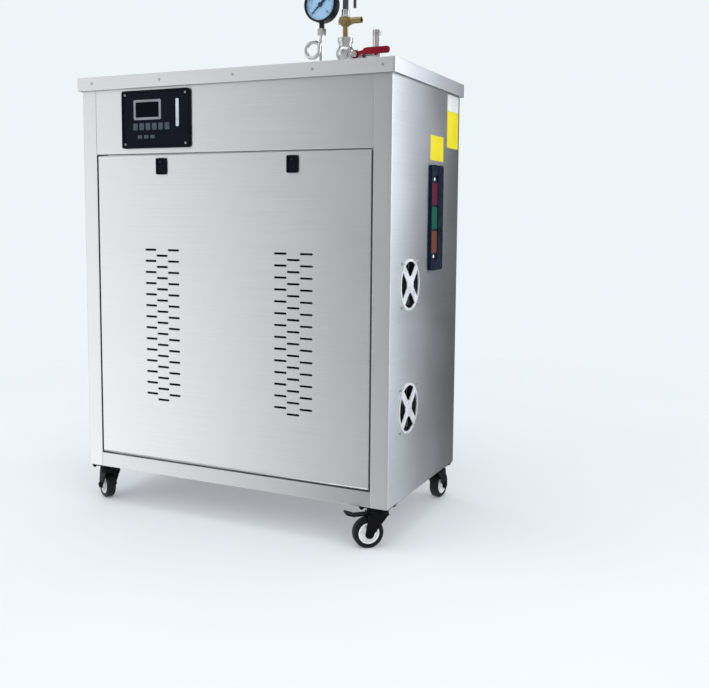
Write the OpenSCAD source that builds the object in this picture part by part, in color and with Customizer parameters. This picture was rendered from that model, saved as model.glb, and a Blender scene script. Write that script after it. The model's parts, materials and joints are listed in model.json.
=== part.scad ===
// Electric steam boiler in a sheet steel cabinet on four swivel casters.
// Millimetres, +Z up, front towards -Y, fan side towards +X, origin on the floor under the cabinet's centre.

/* [Cabinet] */
// Width of the cabinet body
body_w = 900; // [800:10:1200]
// Depth of the cabinet body
body_d = 480; // [440:10:700]
// Height of the body from its floor to the lower edge of the lid
body_h = 1020; // [960:10:1300]
// Thickness of the sheet steel
sheet = 2; // [1.5:0.1:3]
// Clearance left where two panels meet
seam = 0.2; // [0.1:0.05:0.4]
// Outer radius of the upright bends at the front corners
bend_r = 3; // [2:0.5:6]
// Height of the rim of the lid
lid_h = 34; // [25:1:60]
// Distance that the lid stands out past the body
lid_overhang = 10; // [6:1:25]
// Width of the post folded on the front of each side panel
post_w = 45; // [35:1:70]
// Width of the flange folded on the back of each side panel
rear_flange_w = 25; // [15:1:40]
// Height of the bottom rail
rail_h = 38; // [25:1:60]
// Height of the control fascia below the lid
fascia_h = 168; // [165:1:220]

/* [Front panel] */
// Gap that shows round the front panel
panel_gap = 5; // [3:0.5:8]
// Depth of the folded edges of the front panel
fold_d = 22; // [15:1:35]
// Width of the stop lips behind the front panel
lip_w = 15; // [10:1:25]
// Length of one vent slot
slot_w = 35; // [20:1:35]
// Height of one vent slot
slot_h = 5.5; // [3:0.5:8]
// Number of slots in a column
slot_rows = 14; // [4:1:14]
// Distance between slots in a column
slot_pitch = 29.4; // [20:0.2:29.4]
// Distance between columns
column_pitch = 36; // [36:1:60]
// Distance from the panel's edge to the middle column of a group
vent_inset = 205; // [120:1:240]
// Height of the top slot above the body's floor
vent_top = 602; // [560:1:640]
// Distance that the middle column sits lower than its neighbours
vent_stagger = 15; // [0:1:20]

/* [Control panel] */
// Width of the control panel
control_w = 211; // [190:1:260]
// Height of the control panel
control_h = 148; // [142:1:152]
// Distance that the control panel stands out of the fascia
control_t = 8; // [5:0.5:9]
// Distance from the cabinet's left side to the centre of the control panel
control_inset = 242; // [200:1:280]
// Gap between the control panel and the rim of the lid
control_drop = 7; // [2:1:10]
// Width of the rim round the face of the control panel
control_rim = 5; // [3:0.5:8]
// Corner radius of the control panel
control_r = 6; // [3:0.5:10]
// Width of the display with its frame
display_w = 86; // [60:1:95]
// Height of the display with its frame
display_h = 51; // [40:1:60]
// Width of the display's frame
display_rim = 6; // [3:0.5:8]
// Height of the status light bar
light_h = 70; // [50:1:90]
// Width of the status light bar
light_w = 9; // [6:1:14]
// Number of keys in the key row
key_count = 6; // [3:1:6]
// Distance between keys
key_pitch = 20; // [18:0.5:20]
// Width of a key
key_w = 14; // [10:0.5:16]
// Height of a key
key_h = 18; // [10:0.5:20]

/* [Latches] */
// Width of a latch
latch_w = 29; // [25:1:45]
// Height of a latch
latch_h = 42; // [35:1:50]
// Distance that a latch stands out of the front panel
latch_t = 6; // [4:0.5:9]
// Distance from the panel's edge to a latch's centre
latch_inset = 207; // [120:1:240]
// Distance from the top edge of the front panel down to a latch's centre
latch_drop = 29; // [26:1:60]

/* [Fans] */
// Side of a fan's square frame
fan_size = 119; // [119:1:130]
// Depth of a fan's frame
fan_depth = 38; // [36:1:50]
// Diameter of the air opening
fan_bore = 114; // [104:1:114]
// Distance from the front face to the fans' axes
fan_setback = 125; // [120:1:160]
// Height of the lower fan's axis above the body's floor
lower_fan_z = 223; // [120:1:300]
// Height of the upper fan's axis above the body's floor
upper_fan_z = 529; // [440:1:540]
// Gap between the blade tips and the frame
tip_gap = 5; // [5:0.5:8]
// Diameter of the rotor's hub
rotor_hub_d = 44; // [38:1:50]
// Number of blades
blade_count = 7; // [4:1:9]
// Angle of the blades to the fan's plane
blade_angle = 38; // [25:1:45]
// Thickness of a blade
blade_t = 2; // [1.5:0.5:3]
// Diameter of the rotor's shaft
shaft_d = 8; // [5:0.5:10]
// Outer diameter of the guard on the side panel
guard_d = 126; // [124:1:140]
// Width of the guard's spokes
spoke_w = 20; // [8:0.5:24]
// Diameter of the guard's centre plate
guard_hub_d = 42; // [34:1:50]
// Thickness of the guard
guard_t = 2; // [1:0.5:4]

/* [Level window] */
// Width of the level window
window_w = 88; // [80:1:130]
// Height of the level window
window_h = 270; // [240:1:320]
// Distance that the window stands out of the side panel
window_t = 7; // [5:0.5:9]
// Distance from the front face to the window's front edge
window_setback = 252; // [220:1:280]
// Height of the window's lower edge above the body's floor
window_z = 556; // [520:1:600]
// Width of the coloured scale
scale_w = 46; // [30:1:50]
// Height of the recess that holds the scale
recess_h = 216; // [200:1:232]
// Distance from the window's front edge to the scale
scale_setback = 3; // [2:1:20]
// Corner radius of the window
window_r = 8; // [4:0.5:12]

/* [Gauge] */
// Diameter of the gauge
gauge_d = 90; // [60:1:96]
// Depth of the gauge's case
gauge_depth = 28; // [24:1:50]
// Height of the gauge's centre above the lid
gauge_z = 188; // [180:1:240]
// Distance from the cabinet's centre to the gauge
gauge_x = 150; // [100:1:152]
// Wall of the gauge's case
gauge_wall = 4; // [3:0.5:6]
// Diameter of the siphon tube
siphon_d = 10; // [8:0.5:12]
// Radius of the siphon's loop
loop_r = 21; // [17:0.5:23]
// Height of the loop's centre above the lid
loop_z = 76; // [60:1:78]
// Distance from the gauge's axis to the siphon's foot
siphon_shift = 7.5; // [3:0.5:10]

/* [Steam fittings] */
// Distance from the cabinet's centre to the riser
riser_x = 216; // [216:1:260]
// Height of the branch above the lid
branch_z = 50; // [46:1:54]
// Radius of the tee's body
tee_r = 24; // [20:0.5:26]
// Height of the tee's top above the lid
tee_top = 100; // [96:1:110]
// Radius of the pipe collars
collar_r = 17; // [15:0.5:19]
// Length of the steam valve's body
valve_len = 40; // [36:1:60]
// Length of the lever from its pivot to its tip
lever_len = 94; // [70:1:100]
// Width of the lever
lever_w = 15; // [12:0.5:20]
// Thickness of the lever
lever_t = 4; // [2:0.5:6]
// Diameter of the valve's stem
stem_d = 10; // [8:0.5:12]
// Distance from the outlet's axis to the valve's end
elbow_run = 24; // [22:1:40]
// Outer diameter of the outlet's pipe
outlet_d = 21; // [17:0.5:27]
// Bore of the outlet's pipe
outlet_bore = 16; // [10:0.5:18]
// Height of the outlet's mouth above the lid
outlet_top = 114; // [100:1:140]

/* [Rear connections] */
// Bore of the water connections
water_bore = 18.6; // [12:0.2:20]
// Bore of the cable gland
gland_bore = 20; // [12:0.5:22]
// Distance that the connections stand out of the back panel
connection_t = 8; // [5:0.5:9]
// Height of the connections above the body's floor
connection_z = 120; // [80:1:200]
// Distance between the connections
connection_pitch = 120; // [80:1:200]

/* [Casters] */
// Height of a caster from the floor to the cabinet
caster_h = 105; // [100:1:130]
// Diameter of a wheel
wheel_d = 75; // [50:1:76]
// Width of a tyre
wheel_w = 25; // [20:1:32]
// Diameter of a wheel's hub
wheel_hub_d = 52; // [36:1:56]
// Distance from the swivel axis to the wheel's axle
trail = 25; // [18:1:30]
// Distance from the body's side to the swivel axis
caster_inset_x = 40; // [39:1:90]
// Distance from the body's front or back to the swivel axis
caster_inset_y = 36; // [35:1:90]
// Length of a caster's plate
plate_l = 77; // [70:1:79]
// Width of a caster's plate
plate_w = 68; // [60:1:71]
// Thickness of a caster's plate
plate_t = 3; // [2:0.5:5]
// Diameter of the kingpin
kingpin_d = 12; // [10:0.5:16]
// Diameter of the axle
axle_d = 8; // [6:0.5:10]
// Thickness of the fork's legs
leg_t = 3; // [2:0.5:4]
// Gap between the tyre and the fork
fork_gap = 5; // [5:0.5:8]
// Radial clearance of shafts in their bores
run_gap = 0.05; // [0.02:0.01:0.1]
// Radial clearance of the tyres on their hubs
tyre_gap = 0.05; // [0.02:0.01:0.1]
// Gap between faces that turn past each other
turn_gap = 0.5; // [0.3:0.1:1]

/* [Hidden] */
$fn = 48;

steel = [0.76, 0.77, 0.78];
bright_steel = [0.88, 0.88, 0.89];
black = [0.06, 0.06, 0.065];
brass = [0.72, 0.58, 0.28];
red = [0.55, 0.04, 0.05];

// Levels and faces of the cabinet
base_z = caster_h;
front_y = -body_d / 2;
back_y = body_d / 2 - sheet;
side_x = body_w / 2;
rim_z = base_z + body_h;
lid_top = rim_z + lid_h;
wall_top = lid_top - sheet;
opening_x = side_x - post_w;
opening_bottom = base_z + rail_h;
opening_top = rim_z - fascia_h;
stop_y = front_y + fold_d;
rail_x = opening_x - seam;
lip_x = opening_x - lip_w - seam;
tray_x = side_x - sheet - seam;
tray_front = stop_y + sheet + seam;
tray_back = back_y - sheet - seam;
panel_x = opening_x - panel_gap;
vent_x = panel_x - vent_inset;
latch_x = panel_x - latch_inset;
control_x = side_x - control_inset;

// A block between two opposite corners
module slab(low, high) {
    translate(low) cube(high - low);
}

// A cylinder that runs from a point towards the front, the right or the top
module rod_front(from, d, len) {
    translate(from) rotate([90, 0, 0]) cylinder(d = d, h = len);
}

module rod_right(from, d, len) {
    translate(from) rotate([0, 90, 0]) cylinder(d = d, h = len);
}

module rod_up(from, d, len) {
    translate(from) cylinder(d = d, h = len);
}

// A hexagon between two flats, standing along +Z
module hex(flats, len) {
    cylinder(d = flats / cos(30), h = len, $fn = 6);
}

// A plate with round corners, centred on the origin and standing along +Z
corner_steps = 5;
function round_rect(w, h, r) = [for (c = [0 : 3], i = [0 : corner_steps])
    let (a = 90 * (c + i / corner_steps), sx = c == 0 || c == 3 ? 1 : -1, sy = c < 2 ? 1 : -1)
    [sx * (w / 2 - r) + r * cos(a), sy * (h / 2 - r) + r * sin(a)]];

module round_plate(w, h, t, r) {
    linear_extrude(t) polygon(round_rect(w, h, r));
}

// Base tray with the bottom rail

module base_tray() {
    color(steel) {
        translate([0, 0, base_z]) linear_extrude(sheet) polygon([
            [-rail_x, front_y], [rail_x, front_y], [rail_x, stop_y - seam], [lip_x, stop_y - seam],
            [lip_x, tray_front], [tray_x, tray_front], [tray_x, tray_back], [-tray_x, tray_back],
            [-tray_x, tray_front], [-lip_x, tray_front], [-lip_x, stop_y - seam], [-rail_x, stop_y - seam]]);
        slab([-rail_x, front_y, base_z], [rail_x, front_y + sheet, opening_bottom]);
        slab([-rail_x, front_y, opening_bottom - sheet], [rail_x, stop_y - seam, opening_bottom]);
        slab([-lip_x, front_y, opening_bottom - sheet], [lip_x, stop_y + sheet, opening_bottom]);
        slab([-lip_x, stop_y, opening_bottom - sheet], [lip_x, stop_y + sheet, opening_bottom + lip_w]);
        slab([-tray_x, tray_back - sheet, base_z], [tray_x, tray_back, opening_bottom]);
        for (s = [0, 1]) mirror([s, 0, 0])
            slab([tray_x - sheet, tray_front, base_z], [tray_x, tray_back, opening_bottom]);
    }
}

// Side panels, each one folded sheet with its front post, stop lip and rear flange

module side_profile() {
    difference() {
        polygon([
            [side_x - rear_flange_w, back_y], [side_x, back_y], [side_x, front_y], [opening_x, front_y],
            [opening_x, stop_y], [opening_x - lip_w, stop_y], [opening_x - lip_w, stop_y + sheet],
            [opening_x + sheet, stop_y + sheet], [opening_x + sheet, front_y + sheet],
            [side_x - sheet, front_y + sheet], [side_x - sheet, back_y - sheet],
            [side_x - rear_flange_w, back_y - sheet]]);
        translate([side_x - bend_r, front_y + bend_r]) difference() {
            translate([0, -2 * bend_r]) square(2 * bend_r);
            circle(bend_r);
        }
    }
}

module folded_side() {
    translate([0, 0, base_z]) linear_extrude(wall_top - base_z) side_profile();
}

module left_side_panel() {
    color(steel) mirror([1, 0, 0]) folded_side();
}

module right_side_panel() {
    color(steel) difference() {
        folded_side();
        for (z = [lower_fan_z, upper_fan_z])
            rod_right([side_x - 2 * sheet, front_y + fan_setback, base_z + z], fan_bore, 3 * sheet);
    }
}

// Back panel, lid and control fascia

module back_panel() {
    color(steel) difference() {
        slab([-side_x, back_y, base_z], [side_x, body_d / 2, wall_top]);
        for (i = [-1, 0, 1])
            rod_front([i * connection_pitch, body_d / 2 + sheet, base_z + connection_z], barrel_d + 2 * seam,
                3 * sheet);
    }
}

module lid() {
    lid_x = side_x + lid_overhang;
    lid_y = body_d / 2 + lid_overhang;
    lid_r = bend_r + sheet;
    color(steel) difference() {
        translate([0, 0, rim_z]) round_plate(2 * lid_x, 2 * lid_y, lid_h, lid_r);
        translate([0, 0, rim_z - sheet]) round_plate(2 * (lid_x - sheet), 2 * (lid_y - sheet), lid_h, lid_r - sheet);
    }
}

module control_fascia() {
    color(steel) {
        slab([-rail_x, front_y, opening_top], [rail_x, front_y + sheet, wall_top]);
        slab([-rail_x, front_y, opening_top], [rail_x, stop_y - seam, opening_top + sheet]);
        slab([-lip_x, front_y, opening_top], [lip_x, stop_y + sheet, opening_top + sheet]);
        slab([-lip_x, stop_y, opening_top - lip_w], [lip_x, stop_y + sheet, opening_top + sheet]);
    }
}

// Front panel, a shallow folded pan with two groups of vent slots

module vent_slot() {
    rotate([90, 0, 0]) linear_extrude(4 * sheet, center = true) {
        square([slot_w - slot_h, slot_h], center = true);
        for (s = [-1, 1]) translate([s * (slot_w - slot_h) / 2, 0]) circle(d = slot_h);
    }
}

module front_panel() {
    edge_bottom = opening_bottom + panel_gap;
    edge_top = opening_top - panel_gap;
    color(steel) difference() {
        slab([-panel_x, front_y, edge_bottom], [panel_x, stop_y, edge_top]);
        slab([sheet - panel_x, front_y + sheet, edge_bottom + sheet],
            [panel_x - sheet, stop_y + sheet, edge_top - sheet]);
        for (group = [-1, 1], column = [-1, 0, 1], row = [0 : slot_rows - 1])
            translate([group * vent_x + column * column_pitch, front_y,
                base_z + vent_top - row * slot_pitch - (column == 0 ? vent_stagger : 0)])
                vent_slot();
    }
}

// Control panel

control_z = rim_z - control_drop - control_h / 2;
control_face = front_y - control_t;
face_depth = 2;
display_at = [-23, 24];
light_at = [71, 14];
keys_at = [-11, -19];
strip_at = [-27, -45];
strip_keys = 3;

// A plate on the face of the control panel, centred at a place on it
module on_face(at, w, h, t, r) {
    translate([at[0] - control_x, control_face + face_depth, control_z + at[1]]) rotate([90, 0, 0])
        round_plate(w, h, t, r);
}

module control_bezel() {
    color(black) translate([-control_x, front_y, control_z]) rotate([90, 0, 0]) difference() {
        round_plate(control_w, control_h, control_t, control_r);
        translate([0, 0, control_t - face_depth])
            round_plate(control_w - 2 * control_rim, control_h - 2 * control_rim, 2 * face_depth, control_r / 2);
    }
}

module display_frame() {
    color([0.62, 0.64, 0.66]) difference() {
        on_face(display_at, display_w, display_h, face_depth, display_rim / 2);
        on_face(display_at, display_w - 2 * display_rim, display_h - 2 * display_rim, 2 * face_depth, display_rim / 4);
    }
}

module display_screen() {
    color([0.02, 0.03, 0.06])
        on_face(display_at, display_w - 2 * display_rim - seam, display_h - 2 * display_rim - seam, face_depth / 2,
            display_rim / 4);
}

module function_keys() {
    color([0.35, 0.42, 0.52]) {
        for (i = [0 : key_count - 1])
            on_face(keys_at + [(i - (key_count - 1) / 2) * key_pitch, 0], key_w, key_h, face_depth, key_w / 5);
        for (i = [0 : strip_keys - 1])
            on_face(strip_at + [(i - (strip_keys - 1) / 2) * key_pitch, 0], key_w, key_h / 2, face_depth, key_w / 6);
    }
}

module status_light() {
    color("white") on_face(light_at, light_w, light_h, face_depth, light_w / 3);
}

// Latches of the front panel

module latch(x) {
    recess = latch_t / 2;
    rim = latch_w / 8;
    paddle_h = latch_h / 2;
    paddle_w = latch_w - 2 * rim - 3;
    lock_d = latch_w / 3;
    color(black) translate([x, front_y, opening_top - panel_gap - latch_drop]) rotate([90, 0, 0]) {
        difference() {
            round_plate(latch_w, latch_h, latch_t, rim);
            translate([0, 0, recess]) round_plate(latch_w - 2 * rim, latch_h - 2 * rim, latch_t, rim / 2);
        }
        translate([0, (paddle_h - latch_h) / 2 + rim + 1, recess / 2]) round_plate(paddle_w, paddle_h, recess, rim / 2);
        translate([0, latch_h / 2 - rim - lock_d / 2 - 1, recess / 2]) cylinder(d = lock_d, h = recess);
    }
}

module left_latch() {
    latch(-latch_x);
}

module right_latch() {
    latch(latch_x);
}

// Fans: the axis of each runs along +Z in its own frame, outwards through the side panel

motor_d = rotor_hub_d + 4;
spider_t = 5;
strut_w = 6;
rotor_start = spider_t + tip_gap + 1;
rotor_end = fan_depth - 4;

module fan_place(z) {
    translate([side_x - sheet - fan_depth, front_y + fan_setback, base_z + z]) rotate([0, 90, 0]) children();
}

module fan_frame(z) {
    color(black) fan_place(z) difference() {
        union() {
            difference() {
                translate([-fan_size / 2, -fan_size / 2, 0]) cube([fan_size, fan_size, fan_depth]);
                translate([0, 0, -1]) cylinder(d = fan_bore, h = fan_depth + 2);
            }
            cylinder(d = motor_d, h = spider_t);
            for (a = [0, 90]) rotate(a) translate([-fan_bore / 2 - 1, -strut_w / 2, 0])
                cube([fan_bore + 2, strut_w, spider_t]);
        }
        translate([0, 0, -1]) cylinder(d = shaft_d + 2 * run_gap, h = spider_t + 2);
    }
}

module fan_rotor(z) {
    tip_r = fan_bore / 2 - tip_gap;
    chord = (rotor_end - rotor_start) / sin(blade_angle);
    color(black) fan_place(z) {
        translate([0, 0, rotor_start]) cylinder(d = rotor_hub_d, h = rotor_end - rotor_start);
        translate([0, 0, 1]) cylinder(d = shaft_d, h = rotor_start);
        intersection() {
            translate([0, 0, rotor_start]) cylinder(r = tip_r, h = rotor_end - rotor_start);
            for (i = [0 : blade_count - 1]) rotate(i * 360 / blade_count)
                translate([rotor_hub_d / 4, 0, (rotor_start + rotor_end) / 2]) rotate([blade_angle, 0, 0])
                    translate([0, -chord / 2, -blade_t / 2]) cube([tip_r, chord, blade_t]);
        }
    }
}

module fan_guard(z) {
    color(bright_steel) translate([side_x, front_y + fan_setback, base_z + z]) rotate([0, 90, 0])
        linear_extrude(guard_t) difference() {
            circle(d = guard_d);
            difference() {
                circle(d = fan_bore);
                circle(d = guard_hub_d);
                for (a = [45, 135]) rotate(a) square([guard_d, spoke_w], center = true);
            }
        }
}

module upper_fan_frame() {
    fan_frame(upper_fan_z);
}

module upper_fan_rotor() {
    fan_rotor(upper_fan_z);
}

module upper_fan_guard() {
    fan_guard(upper_fan_z);
}

module lower_fan_frame() {
    fan_frame(lower_fan_z);
}

module lower_fan_rotor() {
    fan_rotor(lower_fan_z);
}

module lower_fan_guard() {
    fan_guard(lower_fan_z);
}

// Level window on the right side

window_front = front_y + window_setback;
window_bottom = base_z + window_z;
recess_bottom = window_bottom + (window_h - recess_h) / 2;
recess_t = window_t / 2;
zone_gap = 5;
zone_end = 18;
zone_side = 2;
zone_h = (recess_h - 2 * zone_end - 2 * zone_gap) / 3;

module on_side(y, z, out) {
    translate([side_x + out, y, z]) rotate([90, 0, 90]) children();
}

module level_window() {
    color([0.05, 0.06, 0.11]) difference() {
        on_side(window_front + window_w / 2, window_bottom + window_h / 2, 0)
            round_plate(window_w, window_h, window_t, window_r);
        on_side(window_front + scale_setback + scale_w / 2, recess_bottom + recess_h / 2, window_t - recess_t)
            round_plate(scale_w, recess_h, window_t, window_r / 2);
    }
}

module level_scale() {
    color([0.1, 0.5, 0.3]) for (i = [0 : 2])
        on_side(window_front + scale_setback + scale_w / 2, recess_bottom + zone_end + zone_h / 2 + i * (zone_h + zone_gap),
            window_t - recess_t)
            round_plate(scale_w - 2 * zone_side, zone_h, recess_t / 2, zone_side);
}

// Pressure gauge and its pigtail siphon

gauge_y = -6;
gauge_front = gauge_y - gauge_depth / 2;
nut_h = 16;
nut_flats = 22;
gauge_stem = 16;
nut_top = gauge_z - gauge_d / 2 - gauge_stem;
boss_h = 12;
boss_flats = 26;
loop_steps = 28;
tube_sides = 12;
foot_x = gauge_x - siphon_shift;
nut_bottom = nut_top - nut_h;

module gauge_case() {
    color(black) translate([gauge_x, 0, lid_top + gauge_z]) {
        difference() {
            rod_front([0, gauge_front + gauge_depth, 0], gauge_d, gauge_depth);
            rod_front([0, gauge_front + gauge_depth - gauge_wall, 0], gauge_d - 2 * gauge_wall, gauge_depth);
        }
        translate([0, gauge_y, nut_top - gauge_z]) cylinder(d = 14, h = gauge_z - nut_top - gauge_d / 2 + gauge_wall / 2);
    }
}

module gauge_dial() {
    color([0.55, 0.72, 0.92]) rod_front([gauge_x, gauge_front + gauge_depth - gauge_wall, lid_top + gauge_z],
        gauge_d - 2 * gauge_wall - 2 * seam, gauge_depth - 2 * gauge_wall - 2);
}

// The tube's centre line: up, once round the loop from back to front, and up to the gauge
function loop_point(a) = [foot_x - loop_r + loop_r * cos(a), -gauge_y + 2 * gauge_y * a / 360, loop_z + loop_r * sin(a)];
// The bend from the loop's end over to the gauge's axis, from 0 to 1
function bend_point(t) = [foot_x + siphon_shift * (1 - cos(180 * t)) / 2, gauge_y,
    loop_z + (nut_bottom - loop_z) * (0.1 + 0.85 * t)];
bend_steps = 8;
siphon_path = concat(
    [[foot_x, -gauge_y, boss_h / 2], [foot_x, -gauge_y, loop_z - loop_r]],
    [for (i = [0 : loop_steps]) loop_point(i * 360 / loop_steps)],
    [for (i = [0 : bend_steps]) bend_point(i / bend_steps)],
    [[gauge_x, gauge_y, nut_top - nut_h / 2]]);

function unit(v) = v / norm(v);
function heading(path, i) =
    unit(path[min(i + 1, len(path) - 1)] - path[max(i - 1, 0)]);
function ring(path, i, r) =
    let (t = heading(path, i), n = unit(cross(t, [0, 1, 0])), b = cross(t, n))
    [for (k = [0 : tube_sides - 1]) path[i] + r * (cos(k * 360 / tube_sides) * n + sin(k * 360 / tube_sides) * b)];

module tube(path, r) {
    last = len(path) - 1;
    polyhedron(
        points = [for (i = [0 : last]) each ring(path, i, r)],
        faces = concat(
            [[for (k = [0 : tube_sides - 1]) k]],
            [for (i = [0 : last - 1], k = [0 : tube_sides - 1])
                let (next = (k + 1) % tube_sides)
                [i * tube_sides + next, i * tube_sides + k, (i + 1) * tube_sides + k, (i + 1) * tube_sides + next]],
            [[for (k = [tube_sides - 1 : -1 : 0]) last * tube_sides + k]]));
}

module gauge_siphon() {
    color(bright_steel) translate([0, 0, lid_top]) {
        translate([foot_x, -gauge_y, 0]) hex(boss_flats, boss_h);
        tube(siphon_path, siphon_d / 2);
        translate([gauge_x, gauge_y, nut_bottom]) hex(nut_flats, nut_h);
    }
}

// Riser, tee, safety valve, steam valve and outlet along one line on the lid

branch_start = riser_x + tee_r - 3;
valve_start = branch_start + 4;
stem_x = valve_start + valve_len / 2;
valve_end = valve_start + valve_len;
outlet_x = valve_end + elbow_run;
lever_front = -34;
gland_front = -28;
lever_hub_r = 11;
lever_neck = 6;
lever_crank = 22;
lever_rise = 7;
valve_flats = 32;
valve_hex_len = 10;
stem_nut_t = 6;
base_hex_flats = 50;
base_hex_h = 14;
ball_rise = 10;
tee_ring_h = 12;
tee_ring_r = collar_r + 3;
neck_r = 7;
neck_h = 28;
flare_h = 6;
body_r = 16;
safety_h = 52;
safety_flats = 36;
safety_hex_h = 10;
step = 2;
port_r = 8;
port_bore_r = 5.5;
port_depth = 14;
port_len = 46;
port_z = tee_top + safety_h - port_r - 1;
bonnet_r = 7.5;
bonnet_foot_r = 9.5;
bonnet_foot_h = 20;
bonnet_cap_r = 10;
bonnet_cap_h = 14;
bonnet_h = 70;
lift_w = 8;
lift_reach = 29;
lift_t = 5;
lift_drop = 22;

module steam_tee() {
    color(bright_steel) translate([riser_x, 0, lid_top]) {
        hex(base_hex_flats, base_hex_h);
        cylinder(r = collar_r, h = tee_top);
        translate([0, 0, branch_z + ball_rise]) sphere(r = tee_r);
        translate([0, 0, tee_top - tee_ring_h]) cylinder(r = tee_ring_r, h = tee_ring_h);
        rod_right([0, 0, branch_z], 2 * collar_r - 4, valve_start - riser_x);
    }
}

module safety_valve() {
    flare_z = neck_h + flare_h;
    color(brass) translate([riser_x, 0, lid_top]) {
        translate([0, 0, tee_top]) rotate_extrude() polygon([
            [0, 0], [neck_r, 0], [neck_r, neck_h], [neck_r + step, neck_h + step], [body_r - step, flare_z],
            [body_r, flare_z + step], [body_r, safety_h], [0, safety_h]]);
        translate([0, 0, tee_top + flare_z + step]) hex(safety_flats, safety_hex_h);
        difference() {
            rod_right([0, 0, port_z], 2 * port_r, port_len);
            rod_right([port_len - port_depth, 0, port_z], 2 * port_bore_r, 2 * port_depth);
        }
    }
}

// Bonnet with the bent lift lever at its head
module safety_valve_bonnet() {
    lift_z = bonnet_h - bonnet_cap_h;
    color([0.16, 0.18, 0.24]) translate([riser_x, 0, lid_top + tee_top + safety_h]) {
        rotate_extrude() polygon([
            [0, 0], [bonnet_foot_r, 0], [bonnet_foot_r, bonnet_foot_h], [bonnet_r, bonnet_foot_h + step],
            [bonnet_r, lift_z - step], [bonnet_cap_r, lift_z], [bonnet_cap_r, bonnet_h - 2 * step],
            [bonnet_r, bonnet_h], [0, bonnet_h]]);
        translate([0, lift_w / 2, 0]) rotate([90, 0, 0]) linear_extrude(lift_w) polygon([
            [0, lift_z + lift_t + step], [lift_reach - lift_t, lift_z + lift_t + step],
            [lift_reach, 2 * lift_drop], [lift_reach, lift_drop], [lift_reach - lift_t, lift_drop],
            [lift_reach - lift_t, 2 * lift_drop], [lift_reach - 2 * lift_t, lift_z + step], [0, lift_z + step]]);
    }
}

module steam_valve() {
    color(bright_steel) translate([0, 0, lid_top + branch_z]) {
        for (x = [valve_start, valve_end - valve_hex_len]) translate([x, 0, 0]) rotate([0, 90, 0])
            hex(valve_flats, valve_hex_len);
        rod_right([valve_start + valve_hex_len / 2, 0, 0], valve_flats - 3, valve_len - valve_hex_len);
        rod_front([stem_x, 0, 0], stem_d + 6, -gland_front);
        rod_front([stem_x, 0, 0], stem_d, stem_nut_t + lever_t + turn_gap + 1.5 - lever_front);
        translate([stem_x, lever_front - lever_t - turn_gap, 0]) rotate([90, 0, 0]) hex(stem_d + 5, stem_nut_t);
    }
}

module steam_valve_lever() {
    grip_len = lever_len - lever_crank;
    low = lever_rise - lever_neck / 2;
    high = lever_rise + lever_neck / 2;
    color(red) translate([stem_x, lever_front, lid_top + branch_z]) rotate([90, 0, 0]) linear_extrude(lever_t)
        difference() {
            union() {
                circle(lever_hub_r);
                polygon([[0, -lever_neck], [lever_crank + lever_neck, low], [lever_crank + lever_neck, high],
                    [0, lever_neck]]);
                translate([lever_crank + grip_len / 2, lever_rise])
                    polygon(round_rect(grip_len, lever_w, lever_w / 2.5));
            }
            circle(d = stem_d + 2 * run_gap);
        }
}

module steam_outlet() {
    color(bright_steel) translate([0, 0, lid_top + branch_z]) difference() {
        union() {
            rod_right([valve_end, 0, 0], outlet_d + 5, outlet_x - valve_end);
            translate([outlet_x, 0, 0]) rotate([0, 45, 0]) sphere(d = outlet_d + 7);
            rod_up([outlet_x, 0, 0], outlet_d + 5, 16);
            rod_up([outlet_x, 0, 0], outlet_d, outlet_top - branch_z);
        }
        rod_up([outlet_x, 0, 0], outlet_bore, outlet_top);
    }
}

// Connections through the back panel

barrel_d = 26;
barrel_depth = 20;
connection_flats = 32;

module rear_connections() {
    color(bright_steel) for (i = [-1, 0, 1]) {
        bore = i == 1 ? gland_bore : water_bore;
        translate([i * connection_pitch, body_d / 2 + connection_t, base_z + connection_z]) rotate([90, 0, 0])
            difference() {
                union() {
                    hex(connection_flats, connection_t);
                    cylinder(d = barrel_d, h = connection_t + sheet + barrel_depth);
                }
                translate([0, 0, -1]) cylinder(d = bore, h = connection_t + sheet + barrel_depth + 2);
            }
    }
}

// Casters: each is made with its kingpin on the Z axis and its wheel trailing towards +X

front_left = [-1, -1, 149];
front_right = [1, -1, -140];
rear_left = [-1, 1, 104];
rear_right = [1, 1, 85];
wheel_r = wheel_d / 2;
race_r = 26;
race_h = 7;
race_z = caster_h - plate_t - race_h;
crown_z = wheel_r * 2 + fork_gap + 1;
crown_t = 4;
cup_r = race_r + 1;
nut_t = 4;
leg_y = wheel_w / 2 + fork_gap;
leg_r = 11;
crown_back = cup_r - 4;
axle_end = 4;
axle_flats = 13;
plate_r = 6;
pedal_w = 22;
pedal_tip_w = 30;
pedal_tip = 22;
king_flats = kingpin_d + 4;

module caster_place(corner) {
    translate([corner[0] * (side_x - caster_inset_x), corner[1] * (body_d / 2 - caster_inset_y), 0])
        rotate(corner[2]) children();
}

module caster_plates() {
    color(black) for (corner = [front_left, front_right, rear_left, rear_right])
        translate([corner[0] * (side_x - caster_inset_x), corner[1] * (body_d / 2 - caster_inset_y), 0]) {
            translate([0, 0, caster_h - plate_t]) round_plate(plate_l, plate_w, plate_t, plate_r);
            translate([0, 0, race_z]) cylinder(r = race_r, h = race_h + plate_t / 2);
            translate([0, 0, crown_z - turn_gap - nut_t]) cylinder(d = kingpin_d, h = caster_h - crown_z);
            translate([0, 0, crown_z - turn_gap - nut_t]) hex(king_flats, nut_t);
        }
}

module leg_profile() {
    polygon([[-crown_back, crown_z + crown_t], [cup_r, crown_z + crown_t], [trail + leg_r, wheel_r],
        [trail - leg_r, wheel_r]]);
    translate([trail, wheel_r]) circle(leg_r);
}

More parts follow.
